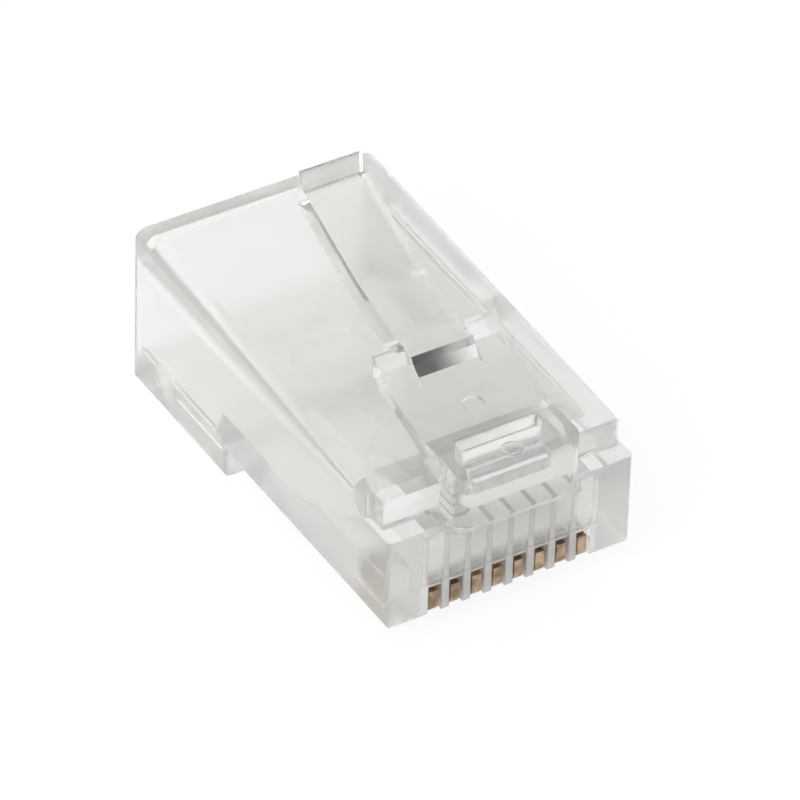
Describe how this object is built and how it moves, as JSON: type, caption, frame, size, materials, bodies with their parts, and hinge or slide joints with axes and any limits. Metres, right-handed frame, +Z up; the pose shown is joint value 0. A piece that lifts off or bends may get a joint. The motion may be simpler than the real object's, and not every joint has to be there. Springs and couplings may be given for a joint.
{
  "type": "modular plug",
  "caption": "Clear eight-way modular plug for round network cable, uncrimped, with a press latch, gold blades and a strain-relief flap.",
  "frame": {"origin": "under the middle of the plug, level with the underside of the foot at the cable end", "axes": "+X across the plug, +Y from the nose back to the cable entry, +Z up from the contact side to the latch"},
  "size_m": [0.0116, 0.0216, 0.0132],
  "materials": {
    "housing_clear": "clear moulded polycarbonate, polished",
    "latch_clear": "clear moulded polycarbonate, polished",
    "flap_clear": "clear moulded polycarbonate, polished",
    "contact_gold": "gold-plated stamped bronze"
  },
  "bodies": {
    "housing": {"housing": "housing_clear"},
    "latch": {"latch": "latch_clear"},
    "strain_relief_flap": {"strain_relief_flap": "flap_clear"},
    "contact_1": {"contact_1": "contact_gold"},
    "contact_2": {"contact_2": "contact_gold"},
    "contact_3": {"contact_3": "contact_gold"},
    "contact_4": {"contact_4": "contact_gold"},
    "contact_5": {"contact_5": "contact_gold"},
    "contact_6": {"contact_6": "contact_gold"},
    "contact_7": {"contact_7": "contact_gold"},
    "contact_8": {"contact_8": "contact_gold"}
  },
  "joints": [
    {"name": "latch_press", "type": "hinge", "parent": "housing", "child": "latch", "pos_m": [0, -0.008, 0.00755], "axis": [-1, 0, 0], "range_deg": [0, 13.5], "stiffness_Nm_per_rad": 0.15},
    {"name": "strain_relief_crimp", "type": "hinge", "parent": "housing", "child": "strain_relief_flap", "pos_m": [0, 0.0084, 0.0011], "axis": [-1, 0, 0], "range_deg": [0, 30]},
    {"name": "contact_1_crimp", "type": "slide", "parent": "housing", "child": "contact_1", "axis": [0, 0, 1], "range_m": [0, 0.0003]},
    {"name": "contact_2_crimp", "type": "slide", "parent": "housing", "child": "contact_2", "axis": [0, 0, 1], "range_m": [0, 0.0003]},
    {"name": "contact_3_crimp", "type": "slide", "parent": "housing", "child": "contact_3", "axis": [0, 0, 1], "range_m": [0, 0.0003]},
    {"name": "contact_4_crimp", "type": "slide", "parent": "housing", "child": "contact_4", "axis": [0, 0, 1], "range_m": [0, 0.0003]},
    {"name": "contact_5_crimp", "type": "slide", "parent": "housing", "child": "contact_5", "axis": [0, 0, 1], "range_m": [0, 0.0003]},
    {"name": "contact_6_crimp", "type": "slide", "parent": "housing", "child": "contact_6", "axis": [0, 0, 1], "range_m": [0, 0.0003]},
    {"name": "contact_7_crimp", "type": "slide", "parent": "housing", "child": "contact_7", "axis": [0, 0, 1], "range_m": [0, 0.0003]},
    {"name": "contact_8_crimp", "type": "slide", "parent": "housing", "child": "contact_8", "axis": [0, 0, 1], "range_m": [0, 0.0003]}
  ]
}
